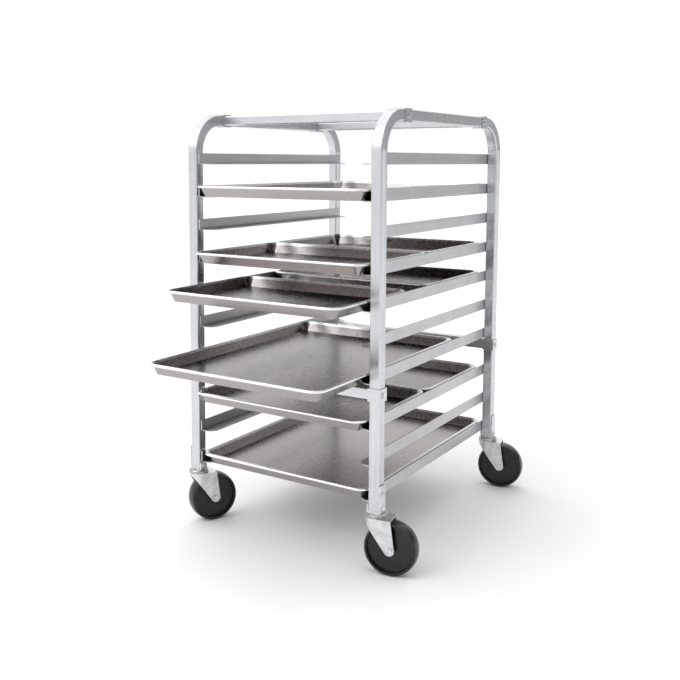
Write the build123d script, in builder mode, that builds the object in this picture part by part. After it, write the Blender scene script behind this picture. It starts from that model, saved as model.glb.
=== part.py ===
from build123d import *
import os

# Sheet pan rack: two bent side frames, ten pairs of ledges, four cross bars, four swivel casters, nine pans.
# X runs across the rack, -Y is the loading end, Z is up, and the origin is on the floor under the centre.

# Frame
frame_width = 508.0
frame_depth = 650.0
tube = 25.4
tube_wall = 2.0
tube_corner = 3.2
bend_radius = 76.2

# Casters
wheel_radius = 58.0
wheel_width = 32.0
wheel_clearance = 2.5
fork_plate = 3.0
fork_width = 46.0
caster_trail = 34.5
raceway_height = 8.5
race_radius = 23.0
race_gap = 0.3
race_skirt = 2.2
race_groove_height = 1.0
race_groove_depth = 2.0
race_dome_edge = 0.4
pin_radius = 5.0
pin_overrun = 1.5
axle_radius = 4.0
axle_fit = 0.05
axle_boss = 11.0
axle_head = 12.0
crown_tail = 37.0
tread_depth = 9.0
tread_round = 2.5
hub_radius = 13.0
hub_gap = 0.5
web_depth = 7.0
web_slope = 2.0
socket_outer_height = 60.0
socket_plate = 3.0
socket_inset = 1.0
socket_round = 4.0
socket_ledge_gap = 0.5
socket_bolt_drop = 1.0
swivel_angles = {"front_left": 62.0, "front_right": 12.0, "rear_left": 40.0, "rear_right": 12.0}

# Ledges, counted from 1 at the top
tier_count = 10
tier_pitch = 76.2
tiers_below_gap = 3
gap_extra = 22.0
ledge_height = 25.4
ledge_width = 32.0
ledge_sheet = 2.0
ledge_setback = 9.0
ledge_nose = 24.0
weld_radius = 2.0
post_below_ledge = 16.0
top_clearance = 65.0

# Cross bars and fasteners
bar_thickness = 22.2
bar_wall = 2.0
collar_sheet = 2.0
collar_length = 28.0
top_bar_offset = 115.0
mid_bar_gap = 4.0
bolt_radius = 3.0
bolt_fit = 0.1
head_width = 10.0
head_height = 4.0
bolt_overrun = 8.0

# Pans
pan_width = 451.0
pan_height = 25.4
pan_sheet = 1.2
full_length = 636.0
half_length = 318.0
pan_corner = 30.0
pan_taper = 17.0
rim_width = 6.0
rim_height = 5.0
rim_overhang = 1.0
rim_edge = 0.2
pan_floor_wall = 0.6
pans = {
    "pan_02_full": (2, full_length, -27.0),
    "pan_04_front": (4, half_length, -194.0),
    "pan_04_rear": (4, half_length, 125.5),
    "pan_05_front": (5, half_length, -296.0),
    "pan_05_rear": (5, half_length, 125.5),
    "pan_07_full": (7, full_length, -197.0),
    "pan_08_front": (8, half_length, -194.0),
    "pan_08_rear": (8, half_length, 125.5),
    "pan_10_full": (10, full_length, -10.0),
}

# Worked out
post_x = frame_width / 2 - tube / 2
post_y = frame_depth / 2 - tube / 2
inner_x = frame_width / 2 - tube
crown_z = 2 * wheel_radius + wheel_clearance
raceway_z = crown_z + fork_plate
socket_z = raceway_z + raceway_height
post_z = socket_z + socket_plate
lowest_ledge_z = post_z + post_below_ledge
ledge_length = frame_depth - 2 * ledge_setback
hub_reach = fork_width / 2 - fork_plate - hub_gap
web_half = wheel_width / 2 - web_depth


def tier_z(tier):
    """Height of the underside of a ledge; tier 1 is the top one."""
    rise = (tier_count - tier) * tier_pitch
    if tier <= tier_count - tiers_below_gap:
        rise += gap_extra
    return lowest_ledge_z + rise


top_z = tier_z(1) + ledge_height + top_clearance + tube
mid_bar_z = tier_z(tier_count - tiers_below_gap) - mid_bar_gap - collar_length / 2
top_bar_y = frame_depth / 2 - top_bar_offset
side_signs = {"left": -1, "right": 1}
corners = {
    "front_left": (-1, -1),
    "front_right": (1, -1),
    "rear_left": (-1, 1),
    "rear_right": (1, 1),
}
socket_bolt_z = post_z + post_below_ledge / 2 - socket_bolt_drop

os.makedirs("parts", exist_ok=True)


def save(part, label):
    """Label one piece and write its file."""
    part.label = label
    export_step(part, f"parts/{label}.step")


# Side frames: one hollow square tube each, bent over the top in the depth plane, drilled for the bolts.
def side_frame(side):
    sign = side_signs[side]
    x = sign * post_x
    straight_top = top_z - tube / 2
    with BuildPart() as frame:
        with BuildLine() as run:
            front = Line((x, -post_y, post_z), (x, -post_y, straight_top - bend_radius))
            front_bend = TangentArc(front @ 1, (x, -post_y + bend_radius, straight_top), tangent=front % 1)
            over = Line(front_bend @ 1, (x, post_y - bend_radius, straight_top))
            rear_bend = TangentArc(over @ 1, (x, post_y, straight_top - bend_radius), tangent=over % 1)
            Line(rear_bend @ 1, (x, post_y, post_z))
        with BuildSketch(Plane.XY.offset(post_z)):
            with Locations((x, -post_y)):
                RectangleRounded(tube, tube, tube_corner)
                inner = tube - 2 * tube_wall
                RectangleRounded(inner, inner, tube_corner - tube_wall, mode=Mode.SUBTRACT)
        sweep(path=run.line)
        for y in (-post_y, post_y):
            for z in (socket_bolt_z, mid_bar_z):
                with Locations(Location((x, y, z), (0, 90, 0))):
                    Cylinder(bolt_radius + bolt_fit, tube * 2, mode=Mode.SUBTRACT)
        for y in (-top_bar_y, top_bar_y):
            with Locations(Location((x, y, top_z - tube / 2), (0, 90, 0))):
                Cylinder(bolt_radius + bolt_fit, tube * 2, mode=Mode.SUBTRACT)
    return frame.part


# Ledges: an angle with its upright leg against the posts and its foot turned inward, rounded at both ends.
def ledge(side, tier):
    sign = side_signs[side]
    z = tier_z(tier)
    with BuildPart() as angle:
        with BuildSketch(Plane.XY.offset(z)):
            with Locations((sign * (inner_x - ledge_width / 2), 0)):
                Rectangle(ledge_width, ledge_length)
            free_edge = vertices().sort_by(Axis.X)[:2] if sign > 0 else vertices().sort_by(Axis.X)[-2:]
            fillet(free_edge, ledge_nose)
        extrude(amount=ledge_sheet)
        with BuildSketch(Plane.XY.offset(z)):
            with Locations((sign * (inner_x - ledge_sheet / 2), 0)):
                Rectangle(ledge_sheet, ledge_length)
        extrude(amount=ledge_height)
    return angle.part


# Weld beads: a quarter-round run up each end of every ledge, in the corner against the post.
def weld_beads():
    with BuildPart() as beads:
        for tier in range(1, tier_count + 1):
            with BuildSketch(Plane.XY.offset(tier_z(tier) + ledge_sheet)):
                for sign in (-1, 1):
                    for end in (-1, 1):
                        corner_y = end * ledge_length / 2
                        with Locations((sign * inner_x, corner_y)):
                            Circle(weld_radius)
                with Locations((inner_x + weld_radius, 0), (-inner_x - weld_radius, 0)):
                    Rectangle(2 * weld_radius, frame_depth, mode=Mode.SUBTRACT)
                Rectangle(frame_width, ledge_length, mode=Mode.SUBTRACT)
            extrude(amount=ledge_height - ledge_sheet)
    return beads.part


# Cross bars: a hollow bar between the side frames, with a bent collar round each frame tube.
def cross_bar(y, z, upright):
    """upright is true where the collars wrap a post and false where they wrap the top tube."""
    across = bar_thickness if upright else tube
    tall = tube if upright else bar_thickness
    wrap = tube + 2 * collar_sheet
    collar_across = wrap if upright else collar_length
    collar_tall = collar_length if upright else wrap
    tube_across = tube if upright else 2 * collar_length
    tube_tall = 2 * collar_length if upright else tube
    length = 2 * (inner_x - collar_sheet)
    with BuildPart() as bar:
        with Locations((0, y, z)):
            Box(length, across, tall)
        fillet(bar.edges().filter_by(Axis.X), tube_corner)
        with Locations((0, y, z)):
            Box(length, across - 2 * bar_wall, tall - 2 * bar_wall, mode=Mode.SUBTRACT)
        for sign in (-1, 1):
            with Locations((sign * post_x, y, z)):
                Box(wrap, collar_across, collar_tall)
                Box(tube, tube_across, tube_tall, mode=Mode.SUBTRACT)
            with Locations(Location((sign * post_x, y, z), (0, 90, 0))):
                Cylinder(bolt_radius + bolt_fit, 2 * tube, mode=Mode.SUBTRACT)
    return bar.part


def crosswise(x, y, z):
    """A place at a point with its axis turned along X."""
    return Locations(Location((x, y, z), (0, 90, 0)))


# Cross bar bolts: a hex bolt through each collar and frame tube, ending inside the bar.
def cross_bar_bolts():
    spots = [(y, mid_bar_z) for y in (-post_y, post_y)]
    spots += [(y, top_z - tube / 2) for y in (-top_bar_y, top_bar_y)]
    shank = tube + 2 * collar_sheet + bolt_overrun
    outside = frame_width / 2 + collar_sheet
    with BuildPart() as bolts:
        for sign in (-1, 1):
            for y, z in spots:
                with crosswise(sign * (outside - shank / 2), y, z):
                    Cylinder(bolt_radius, shank)
                with BuildSketch(Plane(origin=(sign * outside, y, z), z_dir=(sign, 0, 0))):
                    RegularPolygon(head_width / 2, 6, major_radius=False)
                extrude(amount=head_height)
    return bolts.part


# Caster sockets: a U of plate under each post, tall outside and short inside below the lowest ledge.
def socket(corner):
    side, end = corners[corner]
    y = end * post_y
    with BuildPart() as bracket:
        with BuildSketch(Plane.XY.offset(socket_z)):
            with Locations((side * post_x, y)):
                Rectangle(tube + 2 * socket_plate, tube)
        extrude(amount=socket_plate)
        outside = side * (frame_width / 2 + socket_plate)
        with BuildSketch(Plane(origin=(outside, y, socket_z), x_dir=(0, 1, 0), z_dir=(side, 0, 0))):
            with Locations((0, side * socket_outer_height / 2)):
                Rectangle(tube - 2 * socket_inset, socket_outer_height)
            far_end = vertices().sort_by(Axis.Y)[-2:] if side > 0 else vertices().sort_by(Axis.Y)[:2]
            fillet(far_end, socket_round)
        extrude(amount=-socket_plate)
        with BuildSketch(Plane(origin=(side * inner_x, y, socket_z), x_dir=(0, 1, 0), z_dir=(side, 0, 0))):
            inner_height = lowest_ledge_z - socket_z - socket_ledge_gap
            with Locations((0, side * inner_height / 2)):
                Rectangle(tube - 2 * socket_inset, inner_height)
        extrude(amount=-socket_plate)
        with crosswise(side * post_x, y, socket_bolt_z):
            Cylinder(bolt_radius + bolt_fit, 2 * tube, mode=Mode.SUBTRACT)
    return bracket.part


# Socket bolts and nuts: heads outside the posts, nuts inside.
def socket_bolts():
    outside = frame_width / 2 + socket_plate
    shank = tube + 2 * socket_plate + head_height
    with BuildPart() as bolts:
        for side, end in corners.values():
            with crosswise(side * (outside - shank / 2), end * post_y, socket_bolt_z):
                Cylinder(bolt_radius, shank)
            with BuildSketch(Plane(origin=(side * outside, end * post_y, socket_bolt_z), z_dir=(side, 0, 0))):
                RegularPolygon(head_width / 2, 6, major_radius=False)
            extrude(amount=head_height)
    return bolts.part


def socket_nuts():
    face = inner_x - socket_plate
    with BuildPart() as nuts:
        for side, end in corners.values():
            with BuildSketch(Plane(origin=(side * face, end * post_y, socket_bolt_z), z_dir=(-side, 0, 0))):
                RegularPolygon(head_width / 2, 6, major_radius=False)
                Circle(bolt_radius, mode=Mode.SUBTRACT)
            extrude(amount=head_height)
    return nuts.part


# Casters: each is drawn about its own stem, with its local X along the trail.
def stem_plane(corner):
    side, end = corners[corner]
    place = Location((side * post_x, end * post_y, 0), (0, 0, swivel_angles[corner]))
    return Plane(place)


def fork_side_plane(corner, across):
    """A plane facing along the axle, with X along the trail and Y up."""
    base = stem_plane(corner)
    return Plane(origin=base.from_local_coords((0, across, 0)), x_dir=base.x_dir, z_dir=-base.y_dir)


def raceway(corner):
    base = stem_plane(corner)
    with BuildPart() as race:
        with BuildSketch(base.offset(raceway_z + race_gap)):
            Circle(race_radius)
        extrude(amount=race_skirt)
        with BuildSketch(base.offset(raceway_z + race_gap + race_skirt)):
            Circle(race_radius - race_groove_depth)
        extrude(amount=race_groove_height)
        with BuildSketch(base.offset(raceway_z + race_gap + race_skirt + race_groove_height)):
            Circle(race_radius)
        dome = socket_z - raceway_z - race_gap - race_skirt - race_groove_height
        extrude(amount=dome)
        fillet(race.edges().filter_by(GeomType.CIRCLE).group_by(Axis.Z)[-1], dome - race_dome_edge)
        with BuildSketch(base.offset(raceway_z + race_gap)):
            Circle(pin_radius)
        extrude(amount=-fork_plate - race_gap - pin_overrun)
    return race.part


def fork(corner):
    base = stem_plane(corner)
    low = wheel_radius - axle_boss
    tail = caster_trail + axle_boss
    with BuildPart() as body:
        with BuildSketch(base.offset(low)):
            Circle(fork_width / 2)
            with Locations((tail / 2, 0)):
                Rectangle(tail, fork_width)
        extrude(amount=raceway_z - low)
        with BuildSketch(base.offset(low)):
            Circle(fork_width / 2 - fork_plate)
            with Locations((tail / 2, 0)):
                Rectangle(tail, fork_width - 2 * fork_plate)
        extrude(amount=crown_z - low, mode=Mode.SUBTRACT)
        with BuildSketch(fork_side_plane(corner, 0)):
            with Locations((caster_trail, wheel_radius)):
                Circle(axle_boss)
            with Locations(((crown_tail - fork_width / 2) / 2, raceway_z - fork_plate / 2)):
                Rectangle(crown_tail + fork_width / 2, fork_plate)
            make_hull()
        extrude(amount=fork_width, both=True, mode=Mode.INTERSECT)
        with BuildSketch(fork_side_plane(corner, 0)):
            with Locations((caster_trail, wheel_radius)):
                Circle(axle_radius + axle_fit)
        extrude(amount=fork_width, both=True, mode=Mode.SUBTRACT)
        with BuildSketch(base.offset(crown_z)):
            Circle(pin_radius + axle_fit)
        extrude(amount=fork_plate, mode=Mode.SUBTRACT)
    return body.part


def axle(corner):
    with BuildPart() as pin:
        with BuildSketch(fork_side_plane(corner, 0)):
            with Locations((caster_trail, wheel_radius)):
                Circle(axle_radius)
        extrude(amount=fork_width / 2, both=True)
        for sign in (-1, 1):
            with BuildSketch(fork_side_plane(corner, sign * fork_width / 2)):
                with Locations((caster_trail, wheel_radius)):
                    RegularPolygon(axle_head / 2, 6, major_radius=False)
            extrude(amount=-sign * head_height)
    return pin.part


def wheel(corner):
    half = wheel_width / 2
    web = wheel_radius - tread_depth
    side = fork_side_plane(corner, 0)
    axis_point = side.from_local_coords((caster_trail, wheel_radius, 0))
    profile_plane = Plane(origin=axis_point, x_dir=side.z_dir, z_dir=side.x_dir)
    with BuildPart() as body:
        with BuildSketch(profile_plane):
            with BuildLine():
                Polyline(
                    (-hub_reach, axle_radius + axle_fit),
                    (-hub_reach, hub_radius),
                    (-web_half, hub_radius),
                    (-web_half, web),
                    (-half, web + web_slope),
                    (-half, wheel_radius - tread_round),
                )
                crown = ThreePointArc(
                    (-half, wheel_radius - tread_round),
                    (0, wheel_radius),
                    (half, wheel_radius - tread_round),
                )
                Polyline(
                    crown @ 1,
                    (half, web + web_slope),
                    (web_half, web),
                    (web_half, hub_radius),
                    (hub_reach, hub_radius),
                    (hub_reach, axle_radius + axle_fit),
                    (-hub_reach, axle_radius + axle_fit),
                )
            make_face()
        revolve(axis=Axis(axis_point, side.z_dir))
    return body.part


# Sheet pans: a tapered tray with rounded corners and a rolled rim.
def pan(tier, length, y):
    z = tier_z(tier) + ledge_sheet
    top = z + pan_height
    mouth = rim_width - rim_overhang
    with BuildPart() as tray:
        with BuildSketch(Plane.XY.offset(z)):
            with Locations((0, y)):
                RectangleRounded(pan_width - 2 * pan_taper, length - 2 * pan_taper, pan_corner - pan_taper)
        with BuildSketch(Plane.XY.offset(top)):
            with Locations((0, y)):
                RectangleRounded(pan_width - 2 * mouth, length - 2 * mouth, pan_corner - mouth)
        loft()
        with BuildSketch(Plane.XY.offset(top - rim_height)):
            with Locations((0, y)):
                RectangleRounded(pan_width, length, pan_corner)
        extrude(amount=rim_height)
        rim = tray.edges().filter_by(Plane.XY).group_by(Axis.Z)[-1]
        fillet(rim, rim_height / 2 - rim_edge)
        with BuildSketch(Plane.XY.offset(z + pan_sheet)):
            with Locations((0, y)):
                low = pan_taper + pan_floor_wall
                RectangleRounded(pan_width - 2 * low, length - 2 * low, pan_corner - low)
        with BuildSketch(Plane.XY.offset(top)):
            with Locations((0, y)):
                RectangleRounded(pan_width - 2 * rim_width, length - 2 * rim_width, pan_corner - rim_width)
        loft(mode=Mode.SUBTRACT)
    return tray.part


for side in side_signs:
    save(side_frame(side), f"side_frame_{side}")
    for tier in range(1, tier_count + 1):
        save(ledge(side, tier), f"ledge_{side}_{tier:02d}")
save(weld_beads(), "ledge_welds")
for end, sign in (("front", -1), ("rear", 1)):
    save(cross_bar(sign * post_y, mid_bar_z, True), f"crossbar_mid_{end}")
    save(cross_bar(sign * top_bar_y, top_z - tube / 2, False), f"crossbar_top_{end}")
save(cross_bar_bolts(), "crossbar_bolts")
save(socket_bolts(), "socket_bolts")
save(socket_nuts(), "socket_nuts")
for corner in corners:
    save(socket(corner), f"socket_{corner}")
    save(raceway(corner), f"raceway_{corner}")
    save(fork(corner), f"fork_{corner}")
    save(axle(corner), f"axle_{corner}")
    save(wheel(corner), f"wheel_{corner}")
for name, (tier, length, y) in pans.items():
    save(pan(tier, length, y), name)
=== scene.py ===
"""Sheet pan rack: materials, edges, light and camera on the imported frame."""
import math

import bpy
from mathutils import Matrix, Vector


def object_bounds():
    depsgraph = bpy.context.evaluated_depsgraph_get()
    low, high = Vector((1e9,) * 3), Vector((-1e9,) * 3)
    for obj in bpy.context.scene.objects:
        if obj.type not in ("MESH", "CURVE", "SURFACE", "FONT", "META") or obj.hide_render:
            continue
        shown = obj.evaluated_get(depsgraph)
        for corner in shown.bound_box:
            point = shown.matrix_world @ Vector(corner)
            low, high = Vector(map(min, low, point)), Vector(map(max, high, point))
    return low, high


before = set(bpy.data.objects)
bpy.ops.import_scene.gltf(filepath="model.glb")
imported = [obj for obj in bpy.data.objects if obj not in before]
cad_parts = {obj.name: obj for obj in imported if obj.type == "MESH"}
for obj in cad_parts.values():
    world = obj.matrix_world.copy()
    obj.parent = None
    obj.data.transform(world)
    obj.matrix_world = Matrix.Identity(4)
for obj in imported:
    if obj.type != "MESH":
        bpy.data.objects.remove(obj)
cad_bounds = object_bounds()

MM = 0.001
sharp_angle = math.radians(32)


# ---------------------------------------------------------------- node tools

class Shader:
    """A node material with its Principled shader, and short ways to add the nodes that feed it."""

    def __init__(self, name):
        self.material = bpy.data.materials.new(name)
        self.material.use_nodes = True
        self.nodes = self.material.node_tree.nodes
        self.links = self.material.node_tree.links
        self.principled = self.nodes["Principled BSDF"]
        self.place = self.nodes.new("ShaderNodeTexCoord").outputs["Object"]

    def add(self, kind, **values):
        node = self.nodes.new(kind)
        for name, value in values.items():
            setattr(node, name, value)
        return node

    def noise(self, stretch, scale, detail=4.0, roughness=0.6):
        """Noise in metres along the axes of stretch: a small number draws it out along that axis."""
        mapping = self.add("ShaderNodeMapping")
        mapping.inputs["Scale"].default_value = stretch
        self.links.new(self.place, mapping.inputs["Vector"])
        noise = self.add("ShaderNodeTexNoise")
        noise.inputs["Scale"].default_value = scale
        noise.inputs["Detail"].default_value = detail
        noise.inputs["Roughness"].default_value = roughness
        self.links.new(mapping.outputs["Vector"], noise.inputs["Vector"])
        return noise.outputs["Fac"]

    def span(self, value, low, high, start=0.3, end=0.7):
        """value taken from start..end to low..high."""
        node = self.add("ShaderNodeMapRange")
        node.inputs["From Min"].default_value = start
        node.inputs["From Max"].default_value = end
        node.inputs["To Min"].default_value = low
        node.inputs["To Max"].default_value = high
        self.links.new(value, node.inputs["Value"])
        return node.outputs["Result"]

    def math(self, operation, a, b):
        node = self.add("ShaderNodeMath", operation=operation)
        for socket, value in zip(node.inputs, (a, b)):
            if isinstance(value, (int, float)):
                socket.default_value = value
            else:
                self.links.new(value, socket)
        return node.outputs["Value"]

    def mix(self, factor, dark, light):
        node = self.add("ShaderNodeMix", data_type="RGBA")
        self.links.new(factor, node.inputs["Factor"])
        for socket, value in ((node.inputs["A"], dark), (node.inputs["B"], light)):
            if isinstance(value, tuple):
                socket.default_value = (*value, 1)
            else:
                self.links.new(value, socket)
        return node.outputs["Result"]

    def edges(self, radius):
        """1 on an edge, 0 on a flat: the bevelled normal against the true one."""
        bevel = self.add("ShaderNodeBevel", samples=4)
        bevel.inputs["Radius"].default_value = radius
        true = self.add("ShaderNodeNewGeometry").outputs["Normal"]
        dot = self.add("ShaderNodeVectorMath", operation="DOT_PRODUCT")
        self.links.new(bevel.outputs["Normal"], dot.inputs[0])
        self.links.new(true, dot.inputs[1])
        return self.span(dot.outputs["Value"], 1.0, 0.0, 0.8, 0.99)

    def bump(self, height, strength, distance):
        node = self.add("ShaderNodeBump")
        node.inputs["Strength"].default_value = strength
        node.inputs["Distance"].default_value = distance
        self.links.new(height, node.inputs["Height"])
        self.links.new(node.outputs["Normal"], self.principled.inputs["Normal"])

    def colour(self, value):
        self.links.new(value, self.principled.inputs["Base Color"])

    def rough(self, value):
        self.links.new(value, self.principled.inputs["Roughness"])


# ---------------------------------------------------------------- materials

def brushed_metal(name, dark, light, along, roughness, grain=0.2, stain=None, edge_wear=0.5, rim_highlight=None):
    """Bare metal drawn or brushed along one axis, with soft mottling, handling marks and rubbed edges.

    The last argument is (share of the piece's height where it starts, its colour): a painted highlight along
    the top rim, from that height up.
    """
    shader = Shader(name)
    shader.principled.inputs["Metallic"].default_value = 1.0
    stretch = [1.0, 1.0, 1.0]
    stretch["XYZ".index(along)] = 0.02
    lines = shader.noise(stretch, 1400.0, 3.0)
    streaks = shader.noise(stretch, 160.0, 3.0)
    clouds = shader.noise((1, 1, 1), 14.0, 5.0)
    marks = shader.noise((1, 1, 1), 90.0, 6.0, 0.75)
    tone = shader.math("ADD", shader.math("MULTIPLY", streaks, 0.5), shader.math("MULTIPLY", clouds, 0.5))
    body = shader.mix(shader.span(tone, 0.0, 1.0), dark, light)
    if stain:
        body = shader.mix(shader.span(clouds, 0.0, 0.3, 0.5, 0.7), body, stain)
    # Painted highlight: everything above the given share of the piece's height is mixed to a bright colour.
    if rim_highlight:
        start, bright = rim_highlight
        split = shader.add("ShaderNodeSeparateXYZ")
        shader.links.new(shader.add("ShaderNodeTexCoord").outputs["Generated"], split.inputs["Vector"])
        body = shader.mix(shader.span(split.outputs["Z"], 0.0, 1.0, start - 0.02, start + 0.02), body, bright)
    rubbed = tuple(min(1.0, 1.12 * value) for value in light)
    worn = shader.math("MULTIPLY", shader.edges(0.8 * MM), edge_wear)
    shader.colour(shader.mix(worn, body, rubbed))
    base = shader.span(marks, roughness - 0.03, roughness + 0.05)
    shader.rough(shader.math("ADD", base, shader.span(lines, -0.05, 0.05)))
    shader.bump(lines, grain, 0.05 * MM)
    return shader.material


def zinc_plate():
    """Bright zinc plate: a fine spangle with small dull spots."""
    shader = Shader("zinc_plate")
    shader.principled.inputs["Metallic"].default_value = 1.0
    spangle = shader.add("ShaderNodeTexVoronoi")
    spangle.inputs["Scale"].default_value = 420.0
    shader.links.new(shader.place, spangle.inputs["Vector"])
    flake = spangle.outputs["Color"]
    clouds = shader.noise((1, 1, 1), 45.0, 5.0)
    body = shader.mix(shader.span(clouds, 0.0, 1.0, 0.35, 0.65), (0.55, 0.56, 0.57), (0.80, 0.81, 0.82))
    shader.colour(shader.mix(shader.edges(0.7 * MM), body, (0.92, 0.93, 0.94)))
    shader.rough(shader.span(flake, 0.24, 0.46, 0.0, 1.0))
    shader.bump(shader.noise((1, 1, 1), 600.0, 3.0), 0.2, 0.06 * MM)
    return shader.material


def turned_steel(name, dark, light, roughness):
    """Small plated steel parts: fine all-round grain and bright corners."""
    shader = Shader(name)
    shader.principled.inputs["Metallic"].default_value = 1.0
    clouds = shader.noise((1, 1, 1), 120.0, 4.0)
    body = shader.mix(shader.span(clouds, 0.0, 1.0), dark, light)
    shader.colour(shader.mix(shader.edges(0.5 * MM), body, (0.95, 0.95, 0.96)))
    shader.rough(shader.span(clouds, roughness - 0.06, roughness + 0.1))
    shader.bump(shader.noise((1, 1, 1), 1500.0, 2.0), 0.15, 0.03 * MM)
    return shader.material


def weld():
    """Laid weld metal: ripples across a bright bead, with a little soot."""
    shader = Shader("weld")
    shader.principled.inputs["Metallic"].default_value = 1.0
    ripple = shader.noise((0.2, 0.2, 1), 700.0, 2.0)
    soot = shader.noise((1, 1, 1), 160.0, 4.0)
    shader.colour(shader.mix(shader.span(soot, 0.0, 1.0), (0.45, 0.45, 0.45), (0.86, 0.87, 0.88)))
    shader.rough(shader.span(soot, 0.3, 0.5))
    shader.bump(ripple, 0.6, 0.3 * MM)
    return shader.material


def black_wheel():
    """Moulded hard black wheel: satin, with dust in its grain and scuffed corners."""
    shader = Shader("black_wheel")
    grain = shader.noise((1, 1, 1), 900.0, 3.0)
    scuffs = shader.noise((1, 1, 1), 55.0, 6.0, 0.7)
    dust = shader.span(scuffs, 0.0, 0.3, 0.55, 0.8)
    body = shader.mix(dust, (0.005, 0.005, 0.006), (0.03, 0.03, 0.032))
    shader.colour(shader.mix(shader.edges(1.2 * MM), body, (0.05, 0.05, 0.055)))
    shader.rough(shader.span(scuffs, 0.18, 0.34))
    shader.bump(grain, 0.25, 0.08 * MM)
    return shader.material


post_metal = brushed_metal("post_metal", (0.52, 0.53, 0.55), (0.66, 0.67, 0.69), "Z", 0.28)
bar_metal = brushed_metal("bar_metal", (0.54, 0.55, 0.57), (0.68, 0.69, 0.71), "X", 0.30)
# Ledges: the same aluminium as the posts with a darker base colour, which is painted shade for their darker
# sides.
ledge_metal_shaded = brushed_metal("ledge_metal_shaded", (0.46, 0.46, 0.47), (0.58, 0.58, 0.59), "Y", 0.34)
# Pans: the bright band along the top rim is a painted highlight, not a real finish.
pan_metal = brushed_metal(
    "pan_metal", (0.34, 0.32, 0.315), (0.40, 0.38, 0.375), "Y", 0.24,
    grain=0.05, stain=(0.33, 0.29, 0.28), edge_wear=0.3, rim_highlight=(0.8, (0.86, 0.86, 0.87)),
)
zinc_metal = zinc_plate()
raceway_metal = turned_steel("raceway_metal", (0.30, 0.30, 0.29), (0.62, 0.62, 0.60), 0.26)
bolt_metal = turned_steel("bolt_metal", (0.55, 0.56, 0.58), (0.85, 0.86, 0.88), 0.24)

by_prefix = (
    ("side_frame", post_metal),
    ("crossbar_bolts", bolt_metal),
    ("crossbar", bar_metal),
    ("ledge_welds", weld()),
    ("ledge", ledge_metal_shaded),
    ("pan", pan_metal),
    ("socket_bolts", bolt_metal),
    ("socket_nuts", bolt_metal),
    ("socket", zinc_metal),
    ("fork", zinc_metal),
    ("raceway", raceway_metal),
    ("axle", bolt_metal),
    ("wheel", black_wheel()),
)


def finish_node(name, node):
    """The node's material, and smooth shading that breaks at its sharp edges."""
    metal = next(found for prefix, found in by_prefix if name.startswith(prefix))
    for slot in node.material_slots:
        slot.material = metal
    node.data.polygons.foreach_set("use_smooth", [True] * len(node.data.polygons))
    split = node.modifiers.new("sharp_edges", "EDGE_SPLIT")
    split.split_angle = sharp_angle


for name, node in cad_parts.items():
    finish_node(name, node)


# ---------------------------------------------------------------- floor, light and camera

floor_size = 60.0
white_wall = 1.0
grey_wall = 0.36
wall_start = -0.15
wall_end = 0.5
panel_size = 2.0
key_place = (-1.2, -2.6, 2.6)
key_power = 25
fill_place = (3.0, -0.8, 1.6)
fill_power = 6
overhead_strength = 1.3
overhead_spread = math.radians(120)
camera_place = Vector((1.1065, -1.9191, 0.862))
sight_yaw = math.radians(33.97)
sight_pitch = math.radians(5.62)
lens_mm = 47.26
sight_shift = (0.073, -0.1325)


def make_floor():
    """A plain pale floor under the wheels."""
    bpy.ops.mesh.primitive_plane_add(size=floor_size, location=(0, 0, 0))
    floor = bpy.context.object
    floor.name = "studio_floor"
    shader = Shader("studio_floor")
    grey = shader.noise((1, 1, 1), 3.0)
    shader.colour(shader.mix(shader.span(grey, 0.0, 1.0), (0.95, 0.95, 0.95), (0.97, 0.97, 0.97)))
    shader.principled.inputs["Roughness"].default_value = 0.9
    floor.data.materials.append(shader.material)


def make_world():
    """A white studio with a grey wall to the rack's right, which gives the bare metal its darker sides."""
    world = bpy.data.worlds.new("studio")
    world.use_nodes = True
    nodes = world.node_tree.nodes
    links = world.node_tree.links
    split = nodes.new("ShaderNodeSeparateXYZ")
    links.new(nodes.new("ShaderNodeTexCoord").outputs["Generated"], split.inputs["Vector"])
    wall = nodes.new("ShaderNodeMapRange")
    wall.interpolation_type = "SMOOTHSTEP"
    wall.inputs["From Min"].default_value = wall_start
    wall.inputs["From Max"].default_value = wall_end
    wall.inputs["To Min"].default_value = white_wall
    wall.inputs["To Max"].default_value = grey_wall
    links.new(split.outputs["X"], wall.inputs["Value"])
    links.new(wall.outputs["Result"], nodes["Background"].inputs["Strength"])
    nodes["Background"].inputs["Color"].default_value = (1, 1, 1, 1)
    bpy.context.scene.world = world


def soft_light(name, place, power):
    """An area light aimed at the rack's middle."""
    lamp = bpy.data.lights.new(name, "AREA")
    lamp.size = panel_size
    lamp.energy = power
    holder = bpy.data.objects.new(name, lamp)
    holder.location = place
    low, high = cad_bounds
    aim = (low + high) / 2 - Vector(place)
    holder.rotation_euler = aim.to_track_quat("-Z", "Y").to_euler()
    bpy.context.collection.objects.link(holder)


def make_overhead():
    """A very broad light from above that whitens the floor evenly, right out to its edge."""
    lamp = bpy.data.lights.new("overhead", "SUN")
    lamp.energy = overhead_strength
    lamp.angle = overhead_spread
    bpy.context.collection.objects.link(bpy.data.objects.new("overhead", lamp))


def make_camera():
    """The photo's viewing angle: from the front right, a little above the top."""
    lens = bpy.data.cameras.new("photo_camera")
    lens.lens = lens_mm
    lens.sensor_width = 36.0
    lens.shift_x, lens.shift_y = sight_shift
    camera = bpy.data.objects.new("photo_camera", lens)
    camera.location = camera_place
    level = math.cos(sight_pitch)
    look = Vector((-math.sin(sight_yaw) * level, math.cos(sight_yaw) * level, -math.sin(sight_pitch)))
    camera.rotation_euler = look.to_track_quat("-Z", "Y").to_euler()
    bpy.context.collection.objects.link(camera)
    bpy.context.scene.camera = camera


make_floor()
make_world()
soft_light("key", key_place, key_power)
soft_light("fill", fill_place, fill_power)
make_overhead()
make_camera()
bpy.context.scene.view_settings.view_transform = "Standard"
